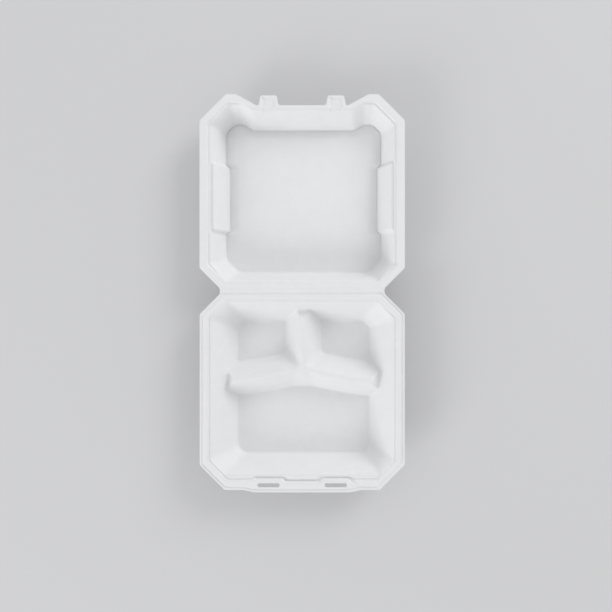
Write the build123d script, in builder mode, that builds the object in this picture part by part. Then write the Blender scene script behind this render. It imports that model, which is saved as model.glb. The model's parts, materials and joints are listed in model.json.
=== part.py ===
import math
import os

from build123d import *

# Foam clamshell container, opened flat: a base tray with three compartments and a lid,
# pressed from one sheet of foam that bends along the hinge line between them.
# X runs along the hinge, Y from the base to the lid, Z up. The origin is the middle of
# the open container, on the surface that it stands on. Places along Y are given as
# distances from the hinge line, called reach, and are drawn on planes whose zero lies
# on that line, with the base on their negative side and the lid on their positive side.

# Whole container, in millimetres
container_width = 241.3
closed_height = 76.2
closing_gap = 0.3
sheet = 2.4
floor_round = 3.0
base_reach = 237.0
lid_reach = 231.3
corner_round = 4.5

# Notches at the two ends of the hinge, measured from the side to their points before rounding
notch_depth = 27.05
notch_round = 7.5

# Two creases of the hinge
crease_spacing = 5.5
crease_width = 1.6
crease_sink = 0.8

# Front of the base: cut corners, and a middle that stands a little further forward
base_corner_cut = 29.4
base_corner_setback = 2.9
bulge_foot_inset = 21.75
bulge_run = 13.5
bulge_round = 22.0

# Rim of the base: an outer lip, a raised bead on it, and a narrow ledge inside the bead
lip_width = 4.5
bead_width = 6.0
bead_rise = 1.2
bead_wall = 1.3
ledge_width = 1.8

# Front shelf, which is the bead made wide, from the front edge back to its stepped inner line
shelf_middle_width = 14.1
shelf_slot_width = 17.8
shelf_corner_width = 15.0
shelf_jog_length = 31.0
shelf_jog_run = 4.0
shelf_ledge_width = 0.6
shelf_wall = 2.2

# Two slots in the shelf
slot_spacing = 79.2
slot_length = 26.2
slot_width = 4.7
slot_setback = 8.8

# Pan of the base: how far its walls lean in, and its corners
base_side_run = 27.0
base_back_run = 23.5
base_front_run = 19.6
base_floor_cut = 9.0
base_pan_round = 12.0
base_floor_round = 8.0

# Dividers of the base: a stem from the hinge side and two arms, each ending short of the
# wall in a lower saddle
ridge_foot = 41.0
ridge_crest = 3.4
ridge_height = 26.0
saddle_height = 16.0
ridge_end_run = 3.0
crest_round = 1.0
saddle_length = 8.0
junction_reach = 93.6
arm_tilt = 9.2

# Front of the lid: an ear at each corner and a straight middle set back between them
lid_corner_cut = 30.8
ear_width = 11.9
ear_slope_run = 23.7
lid_front_setback = 13.0

# Two tabs on the front of the lid, a clearance narrower at each end than the slots
tab_clearance = 1.35
tab_taper = 2.35
tab_length = 11.5
tab_round = 2.0
tab_border = 2.6
tab_sink = 0.7
tab_overlap = 3.0

# Rim of the lid: a flat flange and a narrow ledge one small step down
lid_flange = 9.4
lid_front_flange = 4.4
lid_step = 1.2
lid_ledge = 1.4

# Pan of the lid
lid_side_run = 14.6
lid_back_run = 11.6
lid_front_run = 15.4
lid_ear_run = 16.0
lid_back_cut = 16.0
lid_floor_cut = 11.0
lid_pan_round = 7.0
lid_floor_round = 11.0
ear_pan_lean = 3.1
ear_pan_slope = 14.0
ear_floor_lean = 0.9
ear_floor_slope = 13.0

# Finger pads that stand in from the sides of the lid
pad_start = 67.8
pad_front_setback = 75.5
pad_end_run = 6.0
pad_stand = 3.5
pad_sink = 5.0
pad_top_inset = 13.6

# Places and heights worked out from these
half_width = container_width / 2
notch_half = half_width - notch_depth
hinge_place = (base_reach - lid_reach) / 2
rim = (closed_height - closing_gap) / 2
lip = rim - bead_rise
lid_lip = rim - lid_step
hinge_line = Plane(origin=(0, hinge_place, 0))
to_base, to_lid = -1, 1


def underside_inset(run, height):
    # How much a leaning wall's far face moves in when the wall is dropped by one sheet.
    return sheet * math.tan(math.atan2(height, run) / 2)


def draw_outline(right_half, mode=Mode.ADD):
    # Draws a closed outline, the same on both sides, from its right half of (x, y, radius).
    left_half = [(-x, y, radius) for x, y, radius in reversed(right_half)]
    corners = right_half + left_half
    points = [(x, y) for x, y, radius in corners]
    with BuildLine() as outline:
        FilletPolyline(*points, radius=[radius for x, y, radius in corners], close=True)
    make_face(outline.edges(), mode=mode)


def back_corner(side, back, diagonal, radius, toward):
    # The cut corner beside the hinge, on the 45 degree line where x less the reach is diagonal.
    return [(diagonal + back, toward * back, radius), (side, toward * (side - diagonal), radius)]


def front_corner(side, front, diagonal, radius, toward):
    # The cut corner at the front, on the 45 degree line where x and the reach add to diagonal.
    return [(side, toward * (diagonal - side), radius), (diagonal - front, toward * front, radius)]


# Places of the cut corners, as 45 degree lines, which move by this ratio of an inset
diagonal_ratio = math.sqrt(2)
base_corner_reach = base_reach - base_corner_setback
base_front_diagonal = half_width + base_corner_reach - base_corner_cut
lid_front_diagonal = half_width + lid_reach - lid_corner_cut
lid_front_reach = lid_reach - lid_front_setback
ear_inner = half_width - lid_corner_cut - ear_width
bulge_foot = half_width - base_corner_cut - bulge_foot_inset
bulge_half = bulge_foot - bulge_run

# Outline of the whole flat sheet, right half, from the front of the base to that of the lid
sheet_corners = [
    (bulge_half, -base_reach, bulge_round),
    (bulge_foot, -base_corner_reach, bulge_round),
    *reversed(front_corner(half_width, base_corner_reach, base_front_diagonal, corner_round, to_base)),
    (half_width, notch_half - half_width, corner_round),
    (notch_half, 0, notch_round),
    (half_width, half_width - notch_half, corner_round),
    *front_corner(half_width, lid_reach, lid_front_diagonal, corner_round, to_lid),
    (ear_inner, lid_reach, corner_round),
    (ear_inner - ear_slope_run, lid_front_reach, corner_round),
]

with BuildSketch() as base_outline:
    draw_outline(sheet_corners)
    split(bisect_by=Plane.XZ, keep=Keep.TOP)

with BuildSketch() as lid_outline:
    draw_outline(sheet_corners)
    split(bisect_by=Plane.XZ, keep=Keep.BOTTOM)


def bead_outer(inset):
    # Outer line of the bead and shelf, which runs on to the hinge line at the back.
    diagonal = notch_half - inset * diagonal_ratio
    front_diagonal = base_front_diagonal - inset * diagonal_ratio
    return [
        *back_corner(half_width - inset, 0, diagonal, 0, to_base),
        *front_corner(half_width - inset, base_corner_reach - inset, front_diagonal, corner_round, to_base),
        (bulge_foot, inset - base_corner_reach, bulge_round),
        (bulge_half, inset - base_reach, bulge_round),
    ]


def bead_inner(inset, step):
    # Inner line of the bead and shelf, with a jog toward the hinge behind each slot.
    diagonal = notch_half - inset * diagonal_ratio
    front_diagonal = base_front_diagonal - inset * diagonal_ratio
    corner_line = base_reach - shelf_corner_width - step
    slot_line = base_reach - shelf_slot_width - step
    middle_line = base_reach - shelf_middle_width - step
    jog_near = (slot_spacing - shelf_jog_length) / 2
    jog_far = (slot_spacing + shelf_jog_length) / 2
    return [
        *back_corner(half_width - inset, inset, diagonal, corner_round, to_base),
        *front_corner(half_width - inset, corner_line, front_diagonal, corner_round, to_base),
        (jog_far + shelf_jog_run, -corner_line, 0),
        (jog_far, -slot_line, 0),
        (jog_near, -slot_line, 0),
        (jog_near - shelf_jog_run, -middle_line, 0),
    ]


# Pan of the base as a solid: the space inside it, between the ledge and the floor
base_opening_inset = lip_width + bead_width + ledge_width
base_opening_side = half_width - base_opening_inset
base_opening_front = base_reach - shelf_slot_width - shelf_ledge_width
base_floor_side = base_opening_side - base_side_run
base_floor_back = base_opening_inset + base_back_run
base_floor_front = base_opening_front - base_front_run
base_pan_height = lip - sheet
base_pan_inset = underside_inset(base_side_run, base_pan_height)


def base_opening(grow):
    # Top outline of the pan, made larger all round by grow.
    side = base_opening_side + grow
    diagonal = notch_half - (base_opening_inset - grow) * diagonal_ratio
    front_diagonal = base_front_diagonal - (base_opening_inset - grow) * diagonal_ratio
    radius = base_pan_round + grow
    return [
        *back_corner(side, base_opening_inset - grow, diagonal, radius, to_base),
        *front_corner(side, base_opening_front + grow, front_diagonal, radius, to_base),
    ]


def base_floor(grow):
    # Floor outline of the pan, made larger all round by grow.
    side = base_floor_side + grow
    cut = base_floor_cut - grow * (2 - diagonal_ratio)
    back = base_floor_back - grow
    front = base_floor_front + grow
    radius = base_floor_round + grow
    return [
        *back_corner(side, back, side - cut - back, radius, to_base),
        *front_corner(side, front, side - cut + front, radius, to_base),
    ]


# Dividers, as solids that stand on the floor. Each run is a straight ridge with leaning
# sides: a low one that goes on through the wall, and a high one that ends before it.
ridge_lean = (ridge_foot - ridge_crest) / 2 / ridge_height
saddle_crest = ridge_foot - 2 * ridge_lean * saddle_height
ridge_end_lean = ridge_end_run / (ridge_height - saddle_height)
ridge_inset = underside_inset((ridge_foot - ridge_crest) / 2, ridge_height)
ridge_end_inset = underside_inset(ridge_end_run, ridge_height - saddle_height)
mitre = ridge_foot / 2 * math.tan(math.radians(arm_tilt))
saddle_share = saddle_height / base_pan_height
stem_end = base_floor_back - base_back_run * saddle_share + saddle_length
arm_end = base_floor_side + base_side_run * saddle_share - saddle_length
stem_length = junction_reach - stem_end
arm_length = arm_end / math.cos(math.radians(arm_tilt))
junction = (0, hinge_place - junction_reach, 0)
stem_run = Plane(origin=junction, x_dir=(0, 1, 0))
right_run = Plane(origin=junction, x_dir=Vector(1, 0, 0).rotate(Axis.Z, -arm_tilt))
left_run = Plane(origin=junction, x_dir=Vector(-1, 0, 0).rotate(Axis.Z, arm_tilt))
ridge_runs = [
    (stem_run, stem_length, junction_reach, 0),
    (right_run, arm_length, half_width, mitre),
    (left_run, arm_length, half_width, mitre),
]


def draw_ridge(run, start, low_size, high_size, foot_level, height):
    # One ridge, from start behind the junction: its foot and crest, each (length, width).
    sections = []
    for level, (length, width) in ((foot_level, low_size), (foot_level + height, high_size)):
        with BuildSketch(run.offset(level)) as section:
            with Locations((-start, 0)):
                Rectangle(start + length, width, align=(Align.MIN, Align.CENTER))
        sections.append(section.sketch)
    loft(sections, ruled=True)


def draw_ridges(inset, end_inset, level):
    # All the dividers, made narrower by inset on each side, standing on one level.
    foot = ridge_foot - 2 * inset
    flat = saddle_crest - 2 * inset
    crest = ridge_crest - 2 * inset
    for run, length, through, start in ridge_runs:
        high = length - end_inset
        low = high + ridge_end_lean * ridge_height
        draw_ridge(run, start, (through, foot), (through, flat), level, saddle_height)
        draw_ridge(run, start, (low, foot), (high, crest), level, ridge_height)


# Solids taken away from the base: the space over its floor, and the hollows that the
# dividers leave beneath it
with BuildPart() as base_space:
    with BuildSketch(hinge_line.offset(sheet)):
        draw_outline(base_floor(0))
    with BuildSketch(hinge_line.offset(lip)):
        draw_outline(base_opening(0))
    loft(ruled=True)

with BuildPart() as dividers:
    draw_ridges(0, 0, sheet)
    fillet(dividers.faces().group_by(Axis.Z)[-1].edges(), crest_round)

with BuildPart() as compartments:
    add(base_space.part)
    add(dividers.part, mode=Mode.SUBTRACT)
    fillet(compartments.faces().group_by(Axis.Z)[0].edges(), floor_round)

with BuildPart() as divider_hollows:
    draw_ridges(ridge_inset, ridge_end_inset, 0)


def draw_crease(toward):
    # The groove pressed along the hinge on one side of its middle line.
    place = toward * crease_spacing / 2
    end = Plane(origin=(-half_width, hinge_place, rim), x_dir=(0, 1, 0), z_dir=(1, 0, 0))
    with BuildSketch(end) as section:
        with BuildLine():
            Polyline(
                (place - crease_width / 2, 0),
                (place, -crease_sink),
                (place + crease_width / 2, 0),
                close=True,
            )
        make_face()
    extrude(section.sketch, amount=container_width, mode=Mode.SUBTRACT)


with BuildPart() as base:
    # Pan walls and floor, from the underside up
    with BuildSketch(hinge_line):
        draw_outline(base_floor(base_pan_inset))
    with BuildSketch(hinge_line.offset(lip - sheet)):
        draw_outline(base_opening(base_pan_inset))
    loft(ruled=True)
    fillet(base.faces().sort_by(Axis.Z)[0].edges(), floor_round + sheet)
    # Lip, and the bead and shelf on it with the hollow beneath them
    with BuildSketch(hinge_line.offset(lip - sheet)):
        add(base_outline.sketch_local)
    extrude(amount=sheet)
    with BuildSketch(hinge_line.offset(lip)):
        draw_outline(bead_outer(lip_width))
        draw_outline(bead_inner(lip_width + bead_width, 0), mode=Mode.SUBTRACT)
    extrude(amount=bead_rise)
    with BuildSketch(hinge_line.offset(lip - sheet)):
        draw_outline(bead_outer(lip_width + bead_wall))
        draw_outline(bead_inner(lip_width + bead_width - bead_wall, -shelf_wall), mode=Mode.SUBTRACT)
    extrude(amount=bead_rise, mode=Mode.SUBTRACT)
    # Compartments above, and the hollows of the dividers below
    add(compartments.part, mode=Mode.SUBTRACT)
    add(divider_hollows.part, mode=Mode.SUBTRACT)
    # Slots through the shelf
    with BuildSketch(hinge_line.offset(rim)):
        with Locations((0, slot_setback - base_reach)):
            with GridLocations(slot_spacing, 0, 2, 1):
                SlotOverall(slot_length, slot_width)
    extrude(amount=-sheet - bead_rise, mode=Mode.SUBTRACT)
    draw_crease(to_base)

base.part.label = "base"


# Pan of the lid, which runs forward into the two ears
lid_opening_inset = lid_flange + lid_ledge
lid_opening_side = half_width - lid_opening_inset
lid_opening_ear = lid_reach - lid_opening_inset
lid_opening_front = lid_front_reach - lid_front_flange - lid_ledge
lid_floor_side = lid_opening_side - lid_side_run
lid_floor_back = lid_opening_inset + lid_back_run
lid_floor_ear = lid_opening_ear - lid_ear_run
lid_floor_front = lid_opening_front - lid_front_run
lid_pan_inset = underside_inset(lid_side_run, lid_lip - sheet)


def lid_ring(grow):
    # An outline parallel to the pan's opening, larger all round by grow.
    inset = lid_opening_inset - grow
    diagonal = notch_half - inset * diagonal_ratio
    front_diagonal = lid_front_diagonal - inset * diagonal_ratio
    return [
        *back_corner(half_width - inset, inset, diagonal, lid_pan_round, to_lid),
        *front_corner(half_width - inset, lid_reach - inset, front_diagonal, lid_pan_round, to_lid),
        (ear_inner - ear_pan_lean, lid_reach - inset, lid_pan_round),
        (ear_inner - ear_pan_lean - ear_pan_slope, lid_opening_front + grow, lid_pan_round),
    ]


def lid_floor(grow):
    # Floor outline of the pan, larger all round by grow.
    side = lid_floor_side + grow
    back = lid_floor_back - grow
    ear = lid_floor_ear + grow
    back_cut = lid_back_cut - grow * (2 - diagonal_ratio)
    front_cut = lid_floor_cut - grow * (2 - diagonal_ratio)
    return [
        *back_corner(side, back, side - back_cut - back, lid_floor_round, to_lid),
        *front_corner(side, ear, side - front_cut + ear, lid_floor_round, to_lid),
        (ear_inner - ear_floor_lean, ear, lid_pan_round),
        (ear_inner - ear_floor_lean - ear_floor_slope, lid_floor_front + grow, lid_pan_round),
    ]


# Finger pads, as blocks that lean with the walls and reach out past them
pad_length = lid_reach - pad_front_setback - pad_start
pad_place = pad_start + pad_length / 2
pad_height = rim - pad_sink - sheet
pad_foot = lid_floor_side - pad_stand
pad_top = half_width - pad_top_inset
pad_face_inset = underside_inset(pad_top - pad_foot, pad_height)
pad_end_inset = underside_inset(pad_end_run, pad_height)


def draw_pads(out, shorten, level):
    # Both pads, moved outward by out and shortened at each end, standing on one level.
    foot = (pad_foot + out, pad_length - 2 * shorten)
    top = (pad_top + out, pad_length - 2 * shorten - 2 * pad_end_run)
    sections = []
    for height, (face, length) in ((level, foot), (level + pad_height, top)):
        with BuildSketch(hinge_line.offset(height)) as section:
            with Locations((face, pad_place)):
                Rectangle(half_width - face, length, align=(Align.MIN, Align.CENTER))
        sections.append(section.sketch)
    loft(sections, ruled=True)
    mirror(about=Plane.YZ)


with BuildPart() as lid_space:
    with BuildSketch(hinge_line.offset(sheet)):
        draw_outline(lid_floor(0))
    with BuildSketch(hinge_line.offset(lid_lip)):
        draw_outline(lid_ring(0))
    loft(ruled=True)

with BuildPart() as pads:
    draw_pads(0, 0, sheet)

with BuildPart() as lid_inside:
    add(lid_space.part)
    add(pads.part, mode=Mode.SUBTRACT)
    fillet(lid_inside.faces().group_by(Axis.Z)[0].edges(), floor_round)

with BuildPart() as pad_hollows:
    draw_pads(pad_face_inset, pad_end_inset, 0)


# Tabs, which stand in line with the slots
tab_root_width = slot_length - 2 * tab_clearance
tab_tip_width = tab_root_width - 2 * tab_taper


def draw_tab(place, border):
    # Outline of one tab at place along the front edge, drawn in from its edges by border.
    root = tab_root_width / 2 - border
    tip = tab_tip_width / 2 - border
    start = lid_front_reach - tab_overlap + border
    end = lid_front_reach + tab_length - border
    with BuildLine() as edge:
        FilletPolyline(
            (place - root, start),
            (place + root, start),
            (place + tip, end),
            (place - tip, end),
            radius=[0, 0, tab_round, tab_round],
            close=True,
        )
    make_face(edge.edges())


with BuildPart() as lid:
    # Pan walls and floor, from the underside up
    with BuildSketch(hinge_line):
        draw_outline(lid_floor(lid_pan_inset))
    with BuildSketch(hinge_line.offset(lid_lip - sheet)):
        draw_outline(lid_ring(lid_pan_inset))
    loft(ruled=True)
    fillet(lid.faces().sort_by(Axis.Z)[0].edges(), floor_round + sheet)
    # Flange, the ledge one step below it, and the tabs
    with BuildSketch(hinge_line.offset(rim - sheet)):
        add(lid_outline.sketch_local)
        for side in (-1, 1):
            draw_tab(side * slot_spacing / 2, 0)
    extrude(amount=sheet)
    with BuildSketch(hinge_line.offset(lid_lip - sheet)):
        draw_outline(lid_ring(lid_ledge + lid_pan_inset))
    extrude(amount=sheet)
    with BuildSketch(hinge_line.offset(lid_lip)):
        draw_outline(lid_ring(lid_ledge))
    extrude(amount=lid_step, mode=Mode.SUBTRACT)
    with BuildSketch(hinge_line.offset(rim)):
        for side in (-1, 1):
            draw_tab(side * slot_spacing / 2, tab_border)
    extrude(amount=-tab_sink, mode=Mode.SUBTRACT)
    # Inside above, and the finger hollows in the outer walls
    add(lid_inside.part, mode=Mode.SUBTRACT)
    add(pad_hollows.part, mode=Mode.SUBTRACT)
    draw_crease(to_lid)

lid.part.label = "lid"

os.makedirs("parts", exist_ok=True)
export_step(base.part, "parts/base.step")
export_step(lid.part, "parts/lid.step")
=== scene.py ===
import json
import math

import bpy
import numpy as np
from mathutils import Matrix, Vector
from mathutils.geometry import delaunay_2d_cdt


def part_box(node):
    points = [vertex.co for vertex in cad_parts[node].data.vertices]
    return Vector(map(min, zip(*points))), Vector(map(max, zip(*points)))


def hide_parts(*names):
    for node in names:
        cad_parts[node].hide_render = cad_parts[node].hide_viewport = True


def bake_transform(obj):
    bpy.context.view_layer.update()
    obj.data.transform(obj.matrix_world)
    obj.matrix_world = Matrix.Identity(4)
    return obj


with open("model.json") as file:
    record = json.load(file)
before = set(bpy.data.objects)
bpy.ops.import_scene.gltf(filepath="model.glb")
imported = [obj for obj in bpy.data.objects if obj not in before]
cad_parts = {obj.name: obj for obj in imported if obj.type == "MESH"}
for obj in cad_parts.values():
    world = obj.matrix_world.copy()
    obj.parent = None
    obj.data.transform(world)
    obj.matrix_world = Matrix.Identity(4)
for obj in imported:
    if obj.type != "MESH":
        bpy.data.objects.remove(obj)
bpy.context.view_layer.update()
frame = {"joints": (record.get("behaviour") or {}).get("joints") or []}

# Foam clamshell container, opened flat. It is one pressed sheet, so it is one mesh: a plan
# of triangles whose top follows heightAt() and whose underside lies one sheet further down.
# Everything up to the mesh is in millimetres, with v the distance from the hinge line:
# negative over the base and positive over the lid.
mm = 0.001

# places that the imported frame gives
baseLow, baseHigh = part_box("base")
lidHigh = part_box("lid")[1]
hingeY = frame["joints"][0]["pos_m"][1] / mm
halfWidth = baseHigh.x / mm
baseReach = hingeY - baseLow.y / mm
lidReach = lidHigh.y / mm - hingeY
rimHeight = baseHigh.z / mm
diagonal = math.sqrt(2)  # how far a 45 degree line moves along an axis for each inset of 1
arcStep = 12  # degrees from one point of a rounded corner to the next
nearlyStraight = 0.01  # radians of turn below which a corner isn't rounded
print("frame: container", round(2 * halfWidth, 1), "mm wide and", round(rimHeight, 1), "mm deep")


def ease(share):
    share = np.clip(share, 0, 1)
    return share * share * (3 - 2 * share)


def step(distance, width):
    return ease(distance / width + 0.5)  # from 0 to 1 across a soft edge of that width


def groove(away, width):
    return np.exp(-((away / width) ** 2))  # from 0 to 1 and back across a pressed line


def highest(a, b, blend):
    # the higher of two surfaces, with a fillet that starts where they are blend apart
    share = np.clip(0.5 + 0.5 * (a - b) / blend, 0, 1)
    return b + (a - b) * share + blend * share * (1 - share)


def lowest(a, b, blend):
    return -highest(-a, -b, blend)


def rounded(rightHalf):
    # a closed loop, the same on both sides, from (x, v, radius) of its right half
    corners = rightHalf + [(-x, v, radius) for x, v, radius in reversed(rightHalf)]
    points = []
    for i, (x, v, radius) in enumerate(corners):
        here = np.array((x, v))
        back = np.array(corners[i - 1][:2]) - here
        on = np.array(corners[(i + 1) % len(corners)][:2]) - here
        back, on = back / np.linalg.norm(back), on / np.linalg.norm(on)
        half = math.acos(np.clip(back @ on, -1, 1)) / 2
        if radius == 0 or half > math.pi / 2 - nearlyStraight:
            points.append(here)
            continue
        centre = here + (back + on) / np.linalg.norm(back + on) * radius / math.sin(half)
        start = here + back * radius / math.tan(half) - centre
        turn = math.pi - 2 * half
        turn *= 1 if back[0] * on[1] - back[1] * on[0] < 0 else -1
        pieces = max(1, math.ceil(abs(turn) / math.radians(arcStep)))
        for k in range(pieces + 1):
            c, s = math.cos(turn * k / pieces), math.sin(turn * k / pieces)
            points.append(centre + (start[0] * c - start[1] * s, start[0] * s + start[1] * c))
    return np.array(points)


def insideOf(loop, x, v):
    # distance inside a closed loop, negative outside it
    nearest = np.full(x.shape, np.inf)
    inside = np.zeros(x.shape, bool)
    for (x0, v0), (x1, v1) in zip(loop, np.roll(loop, -1, 0)):
        dx, dv = x1 - x0, v1 - v0
        along = np.clip(((x - x0) * dx + (v - v0) * dv) / (dx * dx + dv * dv), 0, 1)
        nearest = np.minimum(nearest, (x - x0 - along * dx) ** 2 + (v - v0 - along * dv) ** 2)
        if dv != 0:
            inside ^= ((v0 > v) != (v1 > v)) & (x < x0 + (v - v0) * dx / dv)
    return np.where(inside, 1, -1) * np.sqrt(nearest)


def movedIn(loop, distance):
    # the loop moved in by a small distance, point by point
    ahead = np.roll(loop, -1, 0) - loop
    normals = np.stack([-ahead[:, 1], ahead[:, 0]], 1) / np.linalg.norm(ahead, axis=1)[:, None]
    both = normals + np.roll(normals, 1, 0)
    both /= (both * normals).sum(1)[:, None]
    area = (loop[:, 0] * np.roll(loop[:, 1], -1) - np.roll(loop[:, 0], -1) * loop[:, 1]).sum()
    return loop + both * distance * np.sign(area)


# Outline of the flat sheet and the two slots
sheet = {
    "thickness": 2.4,
    "cornerRound": 4.5,
    "notchDepth": 27.05,
    "notchRound": 7.5,
    "baseCornerCut": 29.4,
    "baseCornerSetback": 2.9,
    "bulgeFootInset": 21.75,
    "bulgeRun": 13.5,
    "bulgeRound": 22.0,
    "lidCornerCut": 30.8,
    "earWidth": 11.9,
    "earSlopeRun": 23.7,
    "lidFrontSetback": 13.0,
    "slotSpacing": 79.2,
    "slotLength": 26.2,
    "slotWidth": 4.7,
    "slotSetback": 8.8,
    "tabLength": 11.5,
    "tabClearance": 1.35,
    "tabTaper": 2.35,
    "tabTipRound": 2.0,
    "tabRootRound": 1.5,
    "edgeRound": 0.95,
}
thickness = sheet["thickness"]
notchHalf = halfWidth - sheet["notchDepth"]
baseCornerReach = baseReach - sheet["baseCornerSetback"]
baseFrontDiagonal = halfWidth + baseCornerReach - sheet["baseCornerCut"]
bulgeFoot = halfWidth - sheet["baseCornerCut"] - sheet["bulgeFootInset"]
bulgeHalf = bulgeFoot - sheet["bulgeRun"]
lidFrontDiagonal = halfWidth + lidReach - sheet["lidCornerCut"]
lidFrontReach = lidReach - sheet["lidFrontSetback"]
earInner = halfWidth - sheet["lidCornerCut"] - sheet["earWidth"]
slotPlace = sheet["slotSpacing"] / 2
slotReach = baseReach - sheet["slotSetback"]
tabRoot = sheet["slotLength"] / 2 - sheet["tabClearance"]
tabTip = tabRoot - sheet["tabTaper"]
tabReach = lidFrontReach + sheet["tabLength"]


def backCorner(side, back, across, radius, toward):
    # cut corner beside the hinge, where x less the distance from the hinge is across
    return [(across + back, toward * back, radius), (side, toward * (side - across), radius)]


def frontCorner(side, front, across, radius, toward):
    # cut corner at the front, where x and the distance from the hinge add up to across
    return [(side, toward * (across - side), radius), (across - front, toward * front, radius)]


cornerRound = sheet["cornerRound"]
outline = rounded([
    (bulgeHalf, -baseReach, sheet["bulgeRound"]),
    (bulgeFoot, -baseCornerReach, sheet["bulgeRound"]),
    *reversed(frontCorner(halfWidth, baseCornerReach, baseFrontDiagonal, cornerRound, -1)),
    (halfWidth, notchHalf - halfWidth, cornerRound),
    (notchHalf, 0, sheet["notchRound"]),
    (halfWidth, halfWidth - notchHalf, cornerRound),
    *frontCorner(halfWidth, lidReach, lidFrontDiagonal, cornerRound, 1),
    (earInner, lidReach, cornerRound),
    (earInner - sheet["earSlopeRun"], lidFrontReach, cornerRound),
    (slotPlace + tabRoot, lidFrontReach, sheet["tabRootRound"]),
    (slotPlace + tabTip, tabReach, sheet["tabTipRound"]),
    (slotPlace - tabTip, tabReach, sheet["tabTipRound"]),
    (slotPlace - tabRoot, lidFrontReach, 2 * sheet["tabRootRound"]),
])


def slotLoop(side):
    half, end = sheet["slotLength"] / 2, sheet["slotWidth"] / 2
    most = math.ceil(90 / arcStep) - 1
    turns = [math.radians(arcStep * k) for k in range(-most, most + 1)]
    right = [(half - end + end * math.cos(t), end * math.sin(t)) for t in turns]
    left = [(-x, -v) for x, v in right]
    return np.array(right + left) + (side * slotPlace, -slotReach)


slots = [slotLoop(-1), slotLoop(1)]
print("outline:", len(outline), "points and", len(slots), "slots")

# Rim of the base: a lip, a raised bead on it and the wide front shelf with its jogs
baseRim = {
    "beadRise": 1.2,
    "lipWidth": 4.5,
    "beadWidth": 6.0,
    "edgeSoftness": 1.2,
    "lipSink": 0.9,
    "lipGroove": 1.2,
    "creaseSink": 0.7,
    "creaseWidth": 0.9,
    "lipEnd": 7.0,
    "backEnd": 12.0,
    "backRun": 15.0,
    "shelfMiddle": 12.8,
    "shelfSlot": 16.3,
    "shelfCorner": 15.0,
    "jogLength": 31.0,
    "jogRun": 4.0,
    "jogRound": 1.5,
    "ledge": 1.8,
    "shelfLedge": 4.1,
}
lipHeight = rimHeight - baseRim["beadRise"]


def beadOuter():
    inset = baseRim["lipWidth"]
    front = baseFrontDiagonal - inset * diagonal
    across = notchHalf - inset * diagonal
    return rounded([
        *backCorner(halfWidth - inset, -baseRim["lipEnd"], across, 0, -1),
        *frontCorner(halfWidth - inset, baseCornerReach - inset, front, cornerRound, -1),
        (bulgeFoot, inset - baseCornerReach, sheet["bulgeRound"]),
        (bulgeHalf, inset - baseReach, sheet["bulgeRound"]),
    ])


def beadInner():
    inset = baseRim["lipWidth"] + baseRim["beadWidth"]
    front = baseFrontDiagonal - inset * diagonal
    corner = baseReach - baseRim["shelfCorner"]
    slot = baseReach - baseRim["shelfSlot"]
    middle = baseReach - baseRim["shelfMiddle"]
    near, far = slotPlace - baseRim["jogLength"] / 2, slotPlace + baseRim["jogLength"] / 2
    jog = baseRim["jogRound"]
    return rounded([
        *backCorner(halfWidth - inset, inset, notchHalf - inset * diagonal, cornerRound, -1),
        *frontCorner(halfWidth - inset, corner, front, cornerRound, -1),
        (far + baseRim["jogRun"], -corner, jog),
        (far, -slot, jog),
        (near, -slot, jog),
        (near - baseRim["jogRun"], -middle, jog),
    ])


beadOuterLoop, beadInnerLoop = beadOuter(), beadInner()

# Pan of the base: walls that lean in to the floor
basePan = {
    "sideRun": 27.0,
    "backRun": 23.5,
    "frontRun": 17.6,
    "floorCut": 9.0,
    "cornerBlend": 4.5,
    "floorBlend": 1.7,
    "edgeBlend": 1.3,
}
baseInset = baseRim["lipWidth"] + baseRim["beadWidth"] + baseRim["ledge"]
baseSide = halfWidth - baseInset
baseFront = baseReach - baseRim["shelfSlot"] - baseRim["shelfLedge"]
baseFloorSide = baseSide - basePan["sideRun"]
baseFloorBack = baseInset + basePan["backRun"]
baseFloorFront = baseFront - basePan["frontRun"]
basePanHeight = lipHeight - thickness


def between(place, foot, top):
    return (place - foot) / (top - foot)  # 0 at a wall's foot and 1 at its top


def basePanAt(x, reach):
    backFoot = baseFloorSide - basePan["floorCut"] - baseFloorBack
    frontFoot = baseFloorSide - basePan["floorCut"] + baseFloorFront
    walls = [
        between(x, baseFloorSide, baseSide),
        between(reach, baseFloorBack, baseInset),
        between(reach, baseFloorFront, baseFront),
        between(x - reach, backFoot, notchHalf - baseInset * diagonal),
        between(x + reach, frontFoot, baseFrontDiagonal - baseInset * diagonal),
    ]
    wall = walls[0]
    for other in walls[1:]:
        wall = highest(wall, other, basePan["cornerBlend"] / basePanHeight)
    return thickness + wall * basePanHeight


# Dividers: a stem from the hinge side and two bowed arms, with low saddles at their ends
dividers = {
    "foot": 41.0,
    "crest": 4.2,
    "height": 26.0,
    "saddle": 16.0,
    "stemSaddle": 20.5,
    "endRun": 6.0,
    "saddleLength": 10.6,
    "junction": 93.6,
    "armDrop": 14.8,
    "armQuarter": 95.0,
    "bow": 8.0,
    "crestBlend": 2.0,
    "endBlend": 2.8,
    "footBlend": 2.6,
    "junctionBlend": 10.0,
}
dividerLean = (dividers["foot"] - dividers["crest"]) / 2 / dividers["height"]
stemFoot = baseFloorBack - basePan["backRun"] * dividers["stemSaddle"] / basePanHeight
armFoot = baseFloorSide + basePan["sideRun"] * dividers["saddle"] / basePanHeight
stemEnd = stemFoot + dividers["saddleLength"]
armEnd = armFoot - dividers["saddleLength"]


def armLine(x):
    # distance of the arms' crest from the hinge line
    along = np.hypot(x, dividers["bow"]) - dividers["bow"]
    quarter = np.minimum(along / dividers["armQuarter"], 1) * math.pi / 2
    return dividers["junction"] + dividers["armDrop"] * np.sin(quarter)


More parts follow.
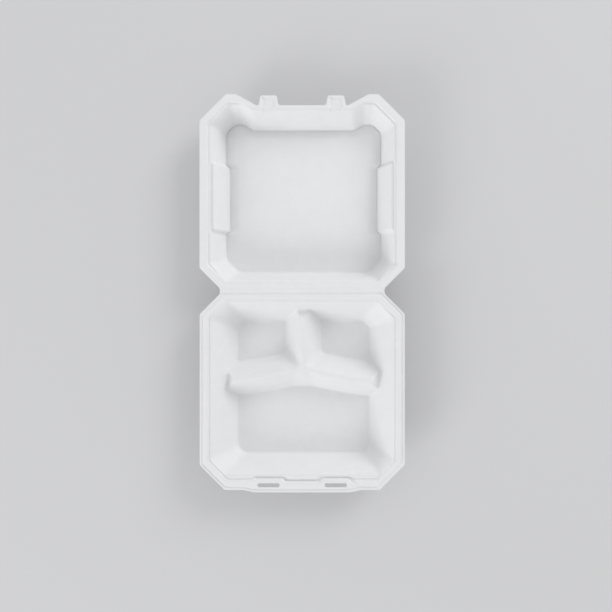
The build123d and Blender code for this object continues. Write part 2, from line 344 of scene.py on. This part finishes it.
def ridge(across, pastEnd, saddle):
    # one divider, from the distance to its middle line and the distance past its end
    sides = (dividers["foot"] / 2 - across) / dividerLean
    low = lowest(sides, saddle, dividers["crestBlend"])
    end = dividers["height"] - pastEnd * (dividers["height"] - saddle) / dividers["endRun"]
    return highest(low, lowest(sides, end, dividers["endBlend"]), dividers["endBlend"])


def dividersAt(x, reach):
    half = 0.5  # mm to each side, to find how steeply the arms' line runs
    slope = np.arctan2(armLine(x + half) - armLine(np.abs(x - half)), 2 * half)
    arm = ridge(np.abs(reach - armLine(x)) * np.cos(slope), x - armEnd, dividers["saddle"])
    stemSide = np.where(reach > dividers["junction"], np.hypot(x, reach - dividers["junction"]), x)
    stem = ridge(stemSide, stemEnd - reach, dividers["stemSaddle"])
    joined = highest(arm, stem, dividers["junctionBlend"])
    return thickness + lowest(joined, dividers["height"], dividers["crestBlend"])


# Two creases that the sheet bends on: a faint one at the lid and a deeper one at the base
hinge = {"spacing": 5.5, "lidWidth": 0.7, "lidSink": 0.5, "baseWidth": 1.2, "baseSink": 1.35}


def creasesAt(v):
    atLid = hinge["lidSink"] * groove(v - hinge["spacing"] / 2, hinge["lidWidth"])
    atBase = hinge["baseSink"] * groove(v + hinge["spacing"] / 2, hinge["baseWidth"])
    return atLid + atBase


# Pressed line that stiffens the shelf behind the slots; on the right it runs on to the front
shelfLine = {
    "sink": 3.0,
    "width": 3.4,
    "frontWidth": 1.9,
    "start": 53.8,
    "jogEnds": (22.6, 18.5),
    "tail": (68.2, 229.2),
    "tailShare": 0.4,
}


def shelfLineAt(x, v):
    near, far = shelfLine["jogEnds"]
    slot, middle = baseReach - baseRim["shelfSlot"], baseReach - baseRim["shelfMiddle"]
    right = [(far, middle), (near, slot), (shelfLine["start"], slot)]
    path = [(-a, b) for a, b in reversed(right)] + right + [shelfLine["tail"]]
    deepest = 0
    for (x0, r0), (x1, r1) in zip(path, path[1:]):
        dx, dr = x1 - x0, r1 - r0
        along = np.clip(((x - x0) * dx + (-v - r0) * dr) / (dx * dx + dr * dr), 0, 1)
        across = -v - r0 - along * dr
        width = np.where(across < 0, shelfLine["width"], shelfLine["frontWidth"])
        share = 1 + (shelfLine["tailShare"] - 1) * ease(along * (x1 == shelfLine["tail"][0]))
        deepest = np.maximum(deepest, groove(np.hypot(x - x0 - along * dx, across), width) * share)
    return shelfLine["sink"] * deepest


def baseAt(x, v):
    reach = -v
    insideOuter, insideInner = insideOf(beadOuterLoop, x, v), insideOf(beadInnerLoop, x, v)
    soft = baseRim["edgeSoftness"]
    lipShare = ease(reach / baseRim["lipEnd"])
    beside = (1 - step(insideOuter, soft)) * lipShare + step(insideInner, soft)
    rim = rimHeight - baseRim["beadRise"] * beside
    pressed = groove(insideOuter + baseRim["lipGroove"], baseRim["lipGroove"])
    rim -= baseRim["lipSink"] * pressed * lipShare
    fromBack = ease((reach - baseRim["backEnd"]) / baseRim["backRun"])
    rim -= baseRim["creaseSink"] * fromBack * groove(insideInner - soft / 2, baseRim["creaseWidth"])
    inside = highest(basePanAt(x, reach), dividersAt(x, reach), dividers["footBlend"])
    inside = highest(inside, thickness, basePan["floorBlend"])
    return lowest(inside, rim, basePan["edgeBlend"])


# Rim of the lid: a flat flange and a narrow ledge one step down
lidRim = {
    "flange": 8.9,
    "frontFlange": 3.9,
    "step": 2.2,
    "frontStep": 1.0,
    "backEnd": 12.0,
    "backRun": 15.0,
    "ledge": 2.5,
    "edgeSoftness": 1.2,
    "sideSink": 0.9,
    "sideGroove": 1.6,
    "sideStart": 60.0,
    "sideRun": 20.0,
}
lidLip = rimHeight - lidRim["step"]
lidInset = lidRim["flange"] + lidRim["ledge"]

# Pan of the lid, which runs forward into the two ears
lidPan = {
    "sideRun": 14.0,
    "backRun": 11.0,
    "frontRun": 14.8,
    "earRun": 15.4,
    "backCut": 16.0,
    "floorCut": 11.0,
    "openingRound": 7.0,
    "earLean": 3.1,
    "earSlope": 18.0,
    "earFloorLean": 0.9,
    "earFloorSlope": 18.0,
    "cornerBlend": 9.0,
    "topCornerBlend": 5.0,
    "floorBlend": 1.8,
    "edgeBlend": 1.3,
    "creaseSink": 0.6,
    "creaseWidth": 1.1,
    "creasePlace": 0.2,
    "creaseStart": 30.0,
    "panelRise": 4.8,
    "panelRun": 13.0,
    "panelStart": 60.0,
}
lidSide = halfWidth - lidInset
lidEar = lidReach - lidInset
lidFront = lidFrontReach - lidRim["frontFlange"] - lidRim["ledge"]
lidFloorSide = lidSide - lidPan["sideRun"]
lidFloorBack = lidInset + lidPan["backRun"]
lidFloorEar = lidEar - lidPan["earRun"]
lidFloorFront = lidFront - lidPan["frontRun"]
lidPanHeight = lidLip - thickness


def lidStepLoop():
    inset = lidRim["flange"]
    front = lidFrontDiagonal - inset * diagonal
    across = notchHalf - inset * diagonal
    radius = lidPan["openingRound"]
    return rounded([
        *backCorner(halfWidth - inset, inset, across, radius, 1),
        *frontCorner(halfWidth - inset, lidReach - inset, front, radius, 1),
        (earInner - lidPan["earLean"], lidReach - inset, radius),
        (earInner - lidPan["earLean"] - lidPan["earSlope"], lidFront + lidRim["ledge"], radius),
    ])


def earLine(x, start, slope, near, far):
    # the front line of the pan, from the ear down a slope to the middle
    return near + (far - near) * ease((x - start + slope) / slope)


def lidPanAt(x, reach):
    backFoot = lidFloorSide - lidPan["backCut"] - lidFloorBack
    frontFoot = lidFloorSide - lidPan["floorCut"] + lidFloorEar
    topStart, floorStart = earInner - lidPan["earLean"], earInner - lidPan["earFloorLean"]
    frontTop = earLine(x, topStart, lidPan["earSlope"], lidFront, lidEar)
    frontFloor = earLine(x, floorStart, lidPan["earFloorSlope"], lidFloorFront, lidFloorEar)
    walls = [
        between(x, lidFloorSide, lidSide),
        between(reach, lidFloorBack, lidInset),
        between(x - reach, backFoot, notchHalf - lidInset * diagonal),
        between(reach, frontFloor, frontTop),
        between(x + reach, frontFoot, lidFrontDiagonal - lidInset * diagonal),
    ]
    share = np.clip(np.maximum.reduce(walls), 0, 1)
    blend = lidPan["cornerBlend"] + (lidPan["topCornerBlend"] - lidPan["cornerBlend"]) * share
    wall = walls[0]
    for other in walls[1:]:
        wall = highest(wall, other, blend / lidPanHeight)
    return thickness + wall * lidPanHeight


# Finger pads that stand in from the sides of the lid
pads = {
    "start": 67.8,
    "frontSetback": 75.5,
    "endRun": 6.0,
    "stand": 4.6,
    "sink": 3.8,
    "topInset": 15.6,
    "topBlend": 1.6,
    "grooveInset": 12.6,
    "grooveSink": 1.4,
    "grooveWidth": 2.6,
}


def padShare(reach):
    start, end = pads["start"], lidReach - pads["frontSetback"]
    return ease(np.minimum(reach - start, end - reach) / pads["endRun"])


def withPads(x, reach, wall):
    height = rimHeight - pads["sink"] - thickness
    foot = lidFloorSide - pads["stand"]
    face = between(x, foot, halfWidth - pads["topInset"]) * height
    pad = thickness + lowest(face, height, pads["topBlend"])
    return wall + np.maximum(pad - wall, 0) * padShare(reach)


# Relief of the two tabs: a shallow hollow that runs back through the flange
tabRelief = {"border": 2.2, "sink": 2.0, "back": 7.5, "softness": 2.6, "rootShare": 0.6}


def tabReliefLoop(side):
    tip, root = tabTip - tabRelief["border"], tabRoot * tabRelief["rootShare"]
    far, near = tabReach - tabRelief["border"], lidFrontReach - tabRelief["back"]
    return np.array([(-root, near), (root, near), (tip, far), (-tip, far)]) + (side * slotPlace, 0)


tabLoops = [tabReliefLoop(-1), tabReliefLoop(1)]
lidStep = lidStepLoop()


def lidAt(x, v):
    fromStep = insideOf(lidStep, x, v)
    atSide = ease((x - lidRim["sideStart"]) / lidRim["sideRun"])
    fromBack = ease((v - lidRim["backEnd"]) / lidRim["backRun"])
    drop = lidRim["frontStep"] + (lidRim["step"] - lidRim["frontStep"]) * atSide
    rim = rimHeight - fromBack * drop * step(fromStep, lidRim["edgeSoftness"])
    pressed = groove(fromStep - lidRim["sideGroove"], lidRim["sideGroove"])
    rim -= lidRim["sideSink"] * atSide * fromBack * pressed
    wall = withPads(x, v, lidPanAt(x, v))
    fromWall = (thickness - wall) * lidPan["sideRun"] / lidPanHeight
    crown = 1 - (1 - np.clip(fromWall / lidPan["panelRun"], 0, 1)) ** 2
    panel = ease((v - lidFloorBack) / lidPan["panelStart"]) * crown
    inside = highest(wall, thickness + lidPan["panelRise"] * panel, lidPan["floorBlend"])
    crease = groove(fromWall - lidPan["creasePlace"], lidPan["creaseWidth"])
    inside -= lidPan["creaseSink"] * (ease((v - lidFloorBack) / lidPan["creaseStart"]) * crease)
    besidePad = groove(halfWidth - pads["grooveInset"] - x, pads["grooveWidth"])
    inside -= pads["grooveSink"] * padShare(v) * besidePad
    whole = lowest(inside, rim, lidPan["edgeBlend"])
    return whole - tabRelief["sink"] * step(insideOf(tabLoops[1], x, v), tabRelief["softness"])


def heightAt(x, v):
    # top of the sheet, the same on both sides of the middle apart from the shelf's line
    onBase = v < 0
    height = np.zeros(x.shape)
    height[onBase] = baseAt(np.abs(x[onBase]), v[onBase])
    height[~onBase] = lidAt(np.abs(x[~onBase]), v[~onBase])
    return height - creasesAt(v) - shelfLineAt(x, v)


# Mesh: feature lines and a grid of points that is finer where the sheet bends more
mesh = {
    "lineStep": 2.2,
    "slotStepShare": 0.4,
    "rimLines": (0, 0.12, 0.38, 0.75, 1.25),  # mm in from the edges of the sheet
    "edgeLines": (-0.9, -0.45, 0, 0.45, 0.9),  # mm to both sides of the pressed lines
    "hingeLines": (-2, -1, -0.4, 0.4, 1, 2),  # in widths of a crease
    "hingeInset": 4,
    "gridSteps": (8.0, 4.0, 2.0, 1.0),
    "bendLimits": (0.06, 0.05, 0.05),  # mm of bend above which each finer step is used
    "bendReach": 0.75,
    "gridInset": 0.4,
    "underCell": 0.6,
    "mergeWithin": 1e-3,
}


def spaced(loop, spacing, closed=True):
    ends = np.roll(loop, -1, 0) if closed else loop[1:]
    points = []
    for start, end in zip(loop, ends):
        pieces = max(1, math.ceil(np.linalg.norm(end - start) / spacing))
        points += [start + (end - start) * k / pieces for k in range(pieces)]
    return np.array(points if closed else points + [loop[-1]])


def featureLoops():
    spacing = mesh["lineStep"]
    fine = spacing * mesh["slotStepShare"]
    loops = [spaced(movedIn(outline, d), spacing) for d in mesh["rimLines"]]
    loops += [spaced(movedIn(slot, -d), fine) for slot in slots for d in mesh["rimLines"]]
    for loop in (beadOuterLoop, beadInnerLoop, lidStep, *tabLoops):
        loops += [spaced(movedIn(loop, d), spacing) for d in mesh["edgeLines"]]
    return loops


def hingeLines():
    near = hinge["spacing"] / 2
    places = [near + d * hinge["lidWidth"] for d in mesh["hingeLines"]]
    places += [d * hinge["baseWidth"] - near for d in mesh["hingeLines"]]
    end = notchHalf - mesh["hingeInset"]
    lines = [np.array([(-end, v), (end, v)]) for v in [0, *places]]
    return [spaced(line, mesh["lineStep"], closed=False) for line in lines]


def bendAt(x, v, cell):
    # how far the sheet leaves the straight line between neighbours one cell away
    here = 2 * heightAt(x, v)
    worst = 0
    for dx, dv in ((cell, 0), (0, cell), (cell, cell), (cell, -cell)):
        both = heightAt(x + dx, v + dv) + heightAt(x - dx, v - dv)
        worst = np.maximum(worst, np.abs(both - here))
    return worst / 2


def gridPoints():
    steps = mesh["gridSteps"]
    coarse = steps[0]
    columns = np.arange(0, halfWidth + coarse, coarse)
    rows = np.arange(-math.ceil(baseReach / coarse), math.ceil(lidReach / coarse) + 1) * coarse
    x, v = (a.ravel() for a in np.meshgrid(columns, rows))
    kept = [np.stack([x, v], 1)]
    for cell, limit in zip(steps[1:], mesh["bendLimits"]):
        bent = bendAt(x, v, cell * mesh["bendReach"]) > limit
        x, v = x[bent], v[bent]
        moves = [(dx, dv) for dx in (-cell, 0, cell) for dv in (-cell, 0, cell)]
        around = np.concatenate([np.stack([x + dx, v + dv], 1) for dx, dv in moves])
        around = np.unique(np.round(around / cell).astype(int), axis=0) * cell
        around = around[around[:, 0] >= 0]
        kept.append(around)
        x, v = around.T
    finest = steps[-1]
    return np.unique(np.round(np.concatenate(kept) / finest).astype(int), axis=0) * finest


def planMesh():
    loops, lines = featureLoops(), hingeLines()
    grid = gridPoints()
    clear = max(mesh["rimLines"]) + mesh["gridInset"]
    inside = insideOf(outline, grid[:, 0], grid[:, 1]) > clear
    inside &= insideOf(slots[1], grid[:, 0], grid[:, 1]) < -clear
    grid = grid[inside]
    grid = np.concatenate([grid, grid[grid[:, 0] > 0] * (-1, 1)])
    onLines = np.concatenate(loops + lines)
    cell = mesh["gridSteps"][-1]
    taken = {tuple(key) for key in np.round(onLines / cell).astype(int)}
    free = [tuple(key) not in taken for key in np.round(grid / cell).astype(int)]
    points = [*onLines, *grid[free]]
    edges, at = [], 0
    for path, closed in [(p, True) for p in loops] + [(p, False) for p in lines]:
        edges += [(at + k, at + k + 1) for k in range(len(path) - 1)]
        if closed:
            edges.append((at + len(path) - 1, at))
        at += len(path)
    made = delaunay_2d_cdt([Vector(p) for p in points], edges, [], 0, mesh["mergeWithin"])
    plan = np.array([tuple(p) for p in made[0]])
    faces = np.array(made[2])
    middle = plan[faces].mean(1)
    keep = insideOf(outline, middle[:, 0], middle[:, 1]) > 0
    keep &= insideOf(slots[1], np.abs(middle[:, 0]), middle[:, 1]) < 0
    faces = faces[keep]
    used, faces = np.unique(faces, return_inverse=True)
    return plan[used], faces.reshape(-1, 3)


def undersideAt(x, v):
    # the far face of a sheet of even thickness: balls of that radius roll along its top,
    # and their lowest points are read from a fine grid
    cell = mesh["underCell"]
    reachOut = math.ceil(thickness / cell)
    columns = np.arange(0, math.ceil(halfWidth / cell) + reachOut + 2)
    firstRow = -math.ceil(baseReach / cell) - reachOut - 1
    rows = np.arange(firstRow, math.ceil(lidReach / cell) + reachOut + 2)
    gridX, gridV = np.meshgrid(columns * cell, rows * cell)
    top = heightAt(gridX.ravel(), gridV.ravel()).reshape(gridX.shape)
    wide = np.concatenate([top[:, reachOut:0:-1], top], 1)  # the other side of the middle as well
    wide = np.pad(wide, ((reachOut, reachOut), (0, reachOut)), mode="edge")
    under = np.full(top.shape, np.inf)
    high, across = top.shape
    for i in range(-reachOut, reachOut + 1):
        for j in range(-reachOut, reachOut + 1):
            drop = thickness**2 - (i * i + j * j) * cell**2
            if drop >= 0:
                near = wide[reachOut + i :, reachOut + j :][:high, :across]
                under = np.minimum(under, near - math.sqrt(drop))
    column, row = np.abs(x) / cell, v / cell - firstRow
    left, below = column.astype(int), row.astype(int)
    toRight, upward = column - left, row - below
    lower = under[below, left] * (1 - toRight) + under[below, left + 1] * toRight
    upper = under[below + 1, left] * (1 - toRight) + under[below + 1, left + 1] * toRight
    return lower * (1 - upward) + upper * upward


def buildSheet():
    plan, faces = planMesh()
    print("plan:", len(plan), "points,", len(faces), "triangles")
    x, v = plan.T
    top, under = heightAt(x, v), undersideAt(x, v)
    edgeRound = sheet["edgeRound"]
    fromEdge = np.minimum(insideOf(outline, x, v), -insideOf(slots[1], np.abs(x), v))
    fromEdge = np.clip(fromEdge, 0, edgeRound)
    drop = edgeRound - np.sqrt(np.maximum(0, edgeRound**2 - (edgeRound - fromEdge) ** 2))
    count = len(plan)
    sides = np.concatenate([faces[:, [0, 1]], faces[:, [1, 2]], faces[:, [2, 0]]])
    _, first, times = np.unique(np.sort(sides, 1), axis=0, return_index=True, return_counts=True)
    border = sides[first[times == 1]]  # sides that only one triangle has
    vertices = np.concatenate([
        np.stack([x, v + hingeY, top - drop], 1),
        np.stack([x, v + hingeY, np.maximum(under + drop, 0)], 1),
    ]) * mm
    # faces of the top, the same turned over for the underside, and the rim between them
    quads = np.stack([border[:, 1], border[:, 0], border[:, 0] + count, border[:, 1] + count], 1)
    allFaces = faces.tolist() + (faces[:, ::-1] + count).tolist() + quads.tolist()
    made = bpy.data.meshes.new("container")
    made.from_pydata(vertices.tolist(), [], allFaces)
    made.validate()
    made.shade_smooth()
    container = bpy.data.objects.new("container", made)
    bpy.context.scene.collection.objects.link(container)
    return container


class Wire:
    # one output of a node, so that values are written as sums and products
    def __init__(self, tree, socket=None):
        self.tree, self.socket = tree, socket

    def node(self, kind, settings=None, inputs=None, output=0):
        made = self.tree.nodes.new(kind)
        for name, value in (settings or {}).items():
            setattr(made, name, value)
        for name, value in (inputs or {}).items():
            if isinstance(value, Wire):
                self.tree.links.new(value.socket, made.inputs[name])
            else:
                made.inputs[name].default_value = value
        return Wire(self.tree, made.outputs[output])

    def mix(self, share, first, second):
        # inputs 6 and 7 and output 2 are the ones for colours
        inputs = {"Factor": share, 6: first, 7: second}
        return self.node("ShaderNodeMix", {"data_type": "RGBA"}, inputs, output=2)

    def noise(self, place, size, detail):
        inputs = {"Vector": place, "Scale": 1 / size, "Detail": detail}
        return self.node("ShaderNodeTexNoise", inputs=inputs)

    def maths(self, operation, first, second):
        return self.node("ShaderNodeMath", {"operation": operation}, {0: first, 1: second})

    def feed(self, socket):
        self.tree.links.new(self.socket, socket)

    def __add__(self, other):
        return self.maths("ADD", self, other)

    def __sub__(self, other):
        return self.maths("SUBTRACT", self, other)

    def __rsub__(self, other):
        return self.maths("SUBTRACT", other, self)

    def __mul__(self, other):
        return self.maths("MULTIPLY", self, other)

    __radd__, __rmul__ = __add__, __mul__


def newMaterial(name):
    material = bpy.data.materials.new(name)
    material.use_nodes = True
    shader = material.node_tree.nodes["Principled BSDF"]
    return material, shader, Wire(material.node_tree)


# Pressed foam: fine closed cells under a satin skin, a little uneven where it was stretched
foam = {
    "colour": (0.86, 0.862, 0.87, 1),
    "denseColour": (0.8, 0.803, 0.815, 1),
    "cellSize": 1.1,
    "cellSmoothness": 0.6,
    "cellRandomness": 0.9,
    "fineSize": 0.44,
    "fineDetail": 2.0,
    "unevenSize": 14.0,
    "unevenDetail": 3.0,
    "denseCells": 0.45,
    "denseUneven": 0.8,
    "denseStart": 0.35,
    "cellDepth": 0.09,
    "fineDepth": 0.027,
    "unevenDepth": 0.16,
    "roughness": 0.44,
    "roughCells": 0.12,
    "roughFine": 0.06,
    "ior": 1.45,
    "specular": 0.35,
}


def foamMaterial():
    material, shader, wires = newMaterial("foam")
    place = wires.node("ShaderNodeTexCoord", output="Object")
    cells = wires.node("ShaderNodeTexVoronoi", {"feature": "SMOOTH_F1"}, {
        "Vector": place,
        "Scale": 1 / (foam["cellSize"] * mm),
        "Smoothness": foam["cellSmoothness"],
        "Randomness": foam["cellRandomness"],
    })
    uneven = wires.noise(place, foam["unevenSize"] * mm, foam["unevenDetail"])
    fine = wires.noise(place, foam["fineSize"] * mm, foam["fineDetail"])
    dense = cells * foam["denseCells"] + uneven * foam["denseUneven"] - foam["denseStart"]
    wires.mix(dense, foam["colour"], foam["denseColour"]).feed(shader.inputs["Base Color"])
    rough = foam["roughness"] + cells * foam["roughCells"] + fine * foam["roughFine"]
    rough.feed(shader.inputs["Roughness"])
    height = fine * foam["fineDepth"] + uneven * foam["unevenDepth"] - cells * foam["cellDepth"]
    relief = {"Height": height, "Strength": 1.0, "Distance": mm}
    wires.node("ShaderNodeBump", inputs=relief).feed(shader.inputs["Normal"])
    shader.inputs["IOR"].default_value = foam["ior"]
    shader.inputs["Specular IOR Level"].default_value = foam["specular"]
    return material


container = buildSheet()
container.data.materials.append(foamMaterial())
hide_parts("base", "lid")
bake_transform(container)
print("container:", len(container.data.polygons), "faces, bending on the hinge line")

# Floor, lights and backdrop
studio = {
    "floorColour": (0.68, 0.68, 0.685, 1),
    "floorSize": 8.0,
    "floorRoughness": 0.8,
    "floorSpecular": 0.1,
    "backdrop": (0.62, 0.62, 0.625, 1),
    "aroundColour": (0.797, 0.8, 0.807, 1),
    "overheadColour": (0.47, 0.47, 0.474, 1),
    "overheadStart": 0.6,  # how steeply a direction rises where the overhead colour begins
    "lightSize": 1.6,
    "lightDistance": 3.6,
    "rightAzimuth": 45,
    "rightHeight": 28.0,
    "rightPower": 38.0,
    "leftAzimuth": 225,
    "leftHeight": 22.0,
    "leftPower": 40.0,
}


def buildFloor():
    half = studio["floorSize"] / 2
    corners = [(-half, -half, 0), (half, -half, 0), (half, half, 0), (-half, half, 0)]
    made = bpy.data.meshes.new("floor")
    made.from_pydata(corners, [], [(0, 1, 2, 3)])
    floor = bpy.data.objects.new("floor", made)
    bpy.context.scene.collection.objects.link(floor)
    material, shader, _ = newMaterial("floor")
    shader.inputs["Base Color"].default_value = studio["floorColour"]
    shader.inputs["Roughness"].default_value = studio["floorRoughness"]
    shader.inputs["Specular IOR Level"].default_value = studio["floorSpecular"]
    made.materials.append(material)


def buildWorld():
    # the backdrop that the camera and gloss see, and the light that falls on the container
    world = bpy.data.worlds.new("studio")
    world.use_nodes = True
    bpy.context.scene.world = world
    background = world.node_tree.nodes["Background"]
    wires = Wire(world.node_tree)
    rays = ("Is Camera Ray", "Is Glossy Ray", "Is Transmission Ray")
    direct, glossy, through = (wires.node("ShaderNodeLightPath", output=ray) for ray in rays)
    seen = direct + glossy + through
    direction = wires.node("ShaderNodeTexCoord", output="Generated")
    rise = wires.node("ShaderNodeSeparateXYZ", inputs={"Vector": direction}, output="Z")
    steep = {"Value": rise, "From Min": studio["overheadStart"]}
    overhead = wires.node("ShaderNodeMapRange", {"interpolation_type": "SMOOTHSTEP"}, steep)
    light = wires.mix(overhead, studio["aroundColour"], studio["overheadColour"])
    wires.mix(seen, light, studio["backdrop"]).feed(background.inputs["Color"])


def softLight(name, azimuth, height, power):
    made = bpy.data.lights.new(name, "AREA")
    made.shape = "DISK"
    made.size = studio["lightSize"]
    made.energy = power
    light = bpy.data.objects.new(name, made)
    rise, turn = math.radians(height), math.radians(azimuth)
    level = math.cos(rise)
    toward = Vector((level * math.cos(turn), level * math.sin(turn), math.sin(rise)))
    light.location = toward * studio["lightDistance"]
    light.rotation_euler = toward.to_track_quat("Z", "Y").to_euler()
    bpy.context.scene.collection.objects.link(light)


buildFloor()
buildWorld()
for side in ("right", "left"):
    place = (studio[side + "Azimuth"], studio[side + "Height"])
    softLight(side + "Light", *place, studio[side + "Power"])
print("studio: floor, backdrop and two soft lights")

# Camera: straight above, over the hinge and a little to the right of the middle
camera = {
    "aboveRim": 0.722,
    "aside": 0.0397,
    "lens": 36.2,
    "sensor": 36.0,
    "shift": (-0.049, -0.0245),
}


def buildCamera():
    made = bpy.data.cameras.new("camera")
    made.lens, made.sensor_width = camera["lens"], camera["sensor"]
    made.shift_x, made.shift_y = camera["shift"]
    viewer = bpy.data.objects.new("camera", made)
    viewer.location = (camera["aside"], hingeY * mm, rimHeight * mm + camera["aboveRim"])
    bpy.context.scene.collection.objects.link(viewer)
    bpy.context.scene.camera = viewer


buildCamera()
print("camera:", camera["aboveRim"], "m above the rim, lens", camera["lens"], "mm")
bpy.context.scene.view_settings.view_transform = "Standard"
